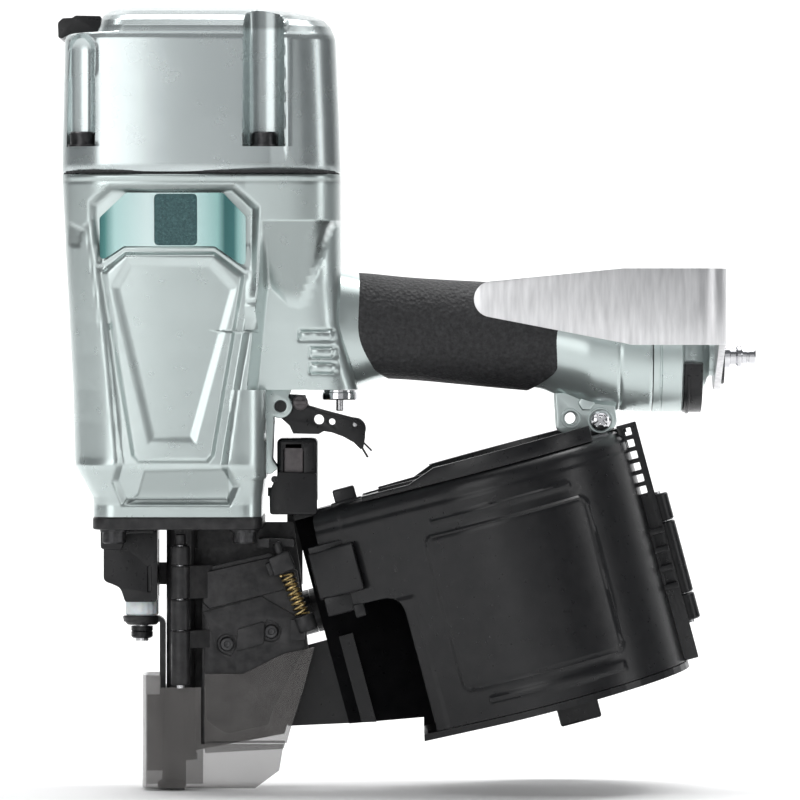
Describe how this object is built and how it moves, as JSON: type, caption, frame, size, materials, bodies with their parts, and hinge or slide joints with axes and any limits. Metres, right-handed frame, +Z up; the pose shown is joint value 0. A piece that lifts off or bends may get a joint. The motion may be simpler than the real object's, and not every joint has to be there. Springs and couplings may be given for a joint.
{
  "type": "pneumatic nail gun",
  "caption": "Pneumatic coil nail gun with cylinder cap, rubber grip, trigger, hinged nail door, clear nose shields, leaning round magazine, rafter hook and air plug.",
  "frame": {"origin": "where a nail leaves the nose, on the drive axis at the contact foot's lower face", "axes": "+Z up the drive axis to the cylinder cap, +X back along the handle to the air plug, the nail door and hook face -Y"},
  "size_m": [0.3127, 0.1238, 0.35],
  "materials": {
    "silver_paint": "satin",
    "black_rubber": "matte",
    "black_steel": "satin",
    "black_plastic": "satin",
    "steel": "satin",
    "aluminium": "satin",
    "chrome": "polished",
    "raw_aluminium": "matte",
    "gold_steel": "satin",
    "grey_plastic": "matte",
    "white_nylon": "matte",
    "smoked_plastic": "gloss"
  },
  "bodies": {
    "tool": {"housing": "silver_paint", "cylinder_cap": "silver_paint", "cap_gasket": "black_rubber", "cap_bolt_1": "black_steel", "cap_bolt_2": "black_steel", "cap_bolt_3": "black_steel", "cap_bolt_4": "black_steel", "exhaust_deflector": "black_plastic", "cylinder_liner": "aluminium", "piston_bumper": "black_rubber", "head_valve_spring": "steel", "handle_grip": "black_rubber", "end_cap": "silver_paint", "end_cap_trim": "black_plastic", "air_plug": "chrome", "hook_clip": "black_steel", "trigger_pin": "black_steel", "valve_bushing": "chrome", "nose": "black_steel", "nose_bolt_1": "black_steel", "nose_bolt_2": "black_steel", "nose_bolt_3": "black_steel", "nose_bolt_4": "black_steel", "lever_guard": "black_plastic", "guard_screw": "black_steel", "depth_cage": "black_plastic", "door_hinge_pin": "steel", "feeder_cylinder": "black_plastic", "feeder_cap": "aluminium", "feed_spring": "steel", "magazine_base": "black_plastic", "magazine_hinge_pin": "steel", "bracket_screw": "steel"},
    "piston": {"piston": "aluminium", "piston_ring": "black_rubber", "driver_blade": "steel"},
    "head_valve": {"head_valve": "black_plastic"},
    "trigger": {"trigger": "black_plastic", "trigger_spring": "steel"},
    "trigger_arm": {"trigger_arm": "gold_steel"},
    "selector": {"selector_knob": "grey_plastic"},
    "plunger": {"valve_plunger": "chrome"},
    "contact_arm": {"contact_arm": "black_steel", "depth_bolt": "steel"},
    "contact_foot": {"contact_foot": "black_steel", "depth_knob": "black_plastic", "front_shield": "smoked_plastic"},
    "depth_dial": {"depth_dial": "white_nylon"},
    "door": {"nail_guide_door": "black_steel", "side_shield": "smoked_plastic", "door_screw_1": "steel", "door_screw_2": "steel", "latch_spring": "gold_steel"},
    "door_latch": {"door_latch": "black_steel"},
    "feed_piston": {"feed_piston": "steel"},
    "magazine_cover": {"magazine_cover": "black_plastic"},
    "magazine_latch": {"magazine_latch": "black_plastic"},
    "nail_tray": {"nail_tray": "grey_plastic"},
    "rafter_hook": {"rafter_hook": "raw_aluminium"}
  },
  "joints": [
    {"name": "piston_slide", "type": "slide", "parent": "tool", "child": "piston", "axis": [0, 0, 1], "range_m": [-0.112, 0]},
    {"name": "head_valve_lift", "type": "slide", "parent": "tool", "child": "head_valve", "axis": [0, 0, 1], "range_m": [0, 0.0055], "stiffness_N_per_m": 1500, "springref_m": -0.004, "deforming": ["head_valve_spring"]},
    {"name": "trigger_pull", "type": "hinge", "parent": "tool", "child": "trigger", "pos_m": [0.0446, 0, 0.1719], "axis": [0, -1, 0], "range_deg": [0, 7], "stiffness_Nm_per_rad": 0.5, "springref_deg": -4.58},
    {"name": "plunger_lift", "type": "slide", "parent": "tool", "child": "plunger", "axis": [0, 0, 1], "range_m": [0, 0.0039]},
    {"name": "trigger_arm_tilt", "type": "hinge", "parent": "trigger", "child": "trigger_arm", "pos_m": [0.0779, 0, 0.1637], "axis": [0, 1, 0], "range_deg": [0, 4], "stiffness_Nm_per_rad": 0.02, "springref_deg": -5.73},
    {"name": "selector_turn", "type": "hinge", "parent": "trigger", "child": "selector", "pos_m": [0.0534, -0.0136, 0.1736], "axis": [0, 1, 0], "range_deg": [0, 90]},
    {"name": "contact_arm_lift", "type": "slide", "parent": "tool", "child": "contact_arm", "axis": [0, 0, 1], "range_m": [0, 0.012], "stiffness_N_per_m": 150, "springref_m": -0.012},
    {"name": "depth_slide", "type": "slide", "parent": "contact_arm", "child": "contact_foot", "axis": [0, 0, 1], "range_m": [-0.0025, 0.0025]},
    {"name": "dial_turn", "type": "hinge", "parent": "contact_foot", "child": "depth_dial", "pos_m": [-0.018, 0, 0.0779], "axis": [0, 0, 1], "range_deg": [-722, 722]},
    {"name": "door_swing", "type": "hinge", "parent": "tool", "child": "door", "pos_m": [0, -0.0185, 0.0719], "axis": [0, 0, 1], "range_deg": [-100, 0]},
    {"name": "latch_slide", "type": "slide", "parent": "door", "child": "door_latch", "axis": [0.3572, 0, -0.934], "range_m": [0, 0.006], "stiffness_N_per_m": 300, "springref_m": -0.006, "deforming": ["latch_spring"]},
    {"name": "feed_slide", "type": "slide", "parent": "tool", "child": "feed_piston", "axis": [0.9659, 0, 0.2588], "range_m": [0, 0.008], "stiffness_N_per_m": 300, "springref_m": -0.006, "deforming": ["feed_spring"]},
    {"name": "cover_swing", "type": "hinge", "parent": "tool", "child": "magazine_cover", "pos_m": [0.23231, 0, 0.06225], "axis": [-0.2588, 0, 0.9659], "range_deg": [0, 90]},
    {"name": "magazine_latch_swing", "type": "hinge", "parent": "magazine_cover", "child": "magazine_latch", "pos_m": [0.08241, -0.02696, 0.09041], "axis": [-0.2588, 0, 0.9659], "range_deg": [0, 60]},
    {"name": "tray_slide", "type": "slide", "parent": "tool", "child": "nail_tray", "axis": [-0.2588, 0, 0.9659], "range_m": [0, 0.03]},
    {"name": "hook_swing", "type": "hinge", "parent": "tool", "child": "rafter_hook", "pos_m": [0.242, 0, 0.1944], "axis": [1, 0, 0], "range_deg": [-180, 0]}
  ],
  "couplings": [
    {"joint": "plunger_lift", "follows": "trigger_pull", "m_per_rad": 0.026},
    {"joint": "dial_turn", "follows": "depth_slide", "rad_per_m": 5026.5}
  ]
}
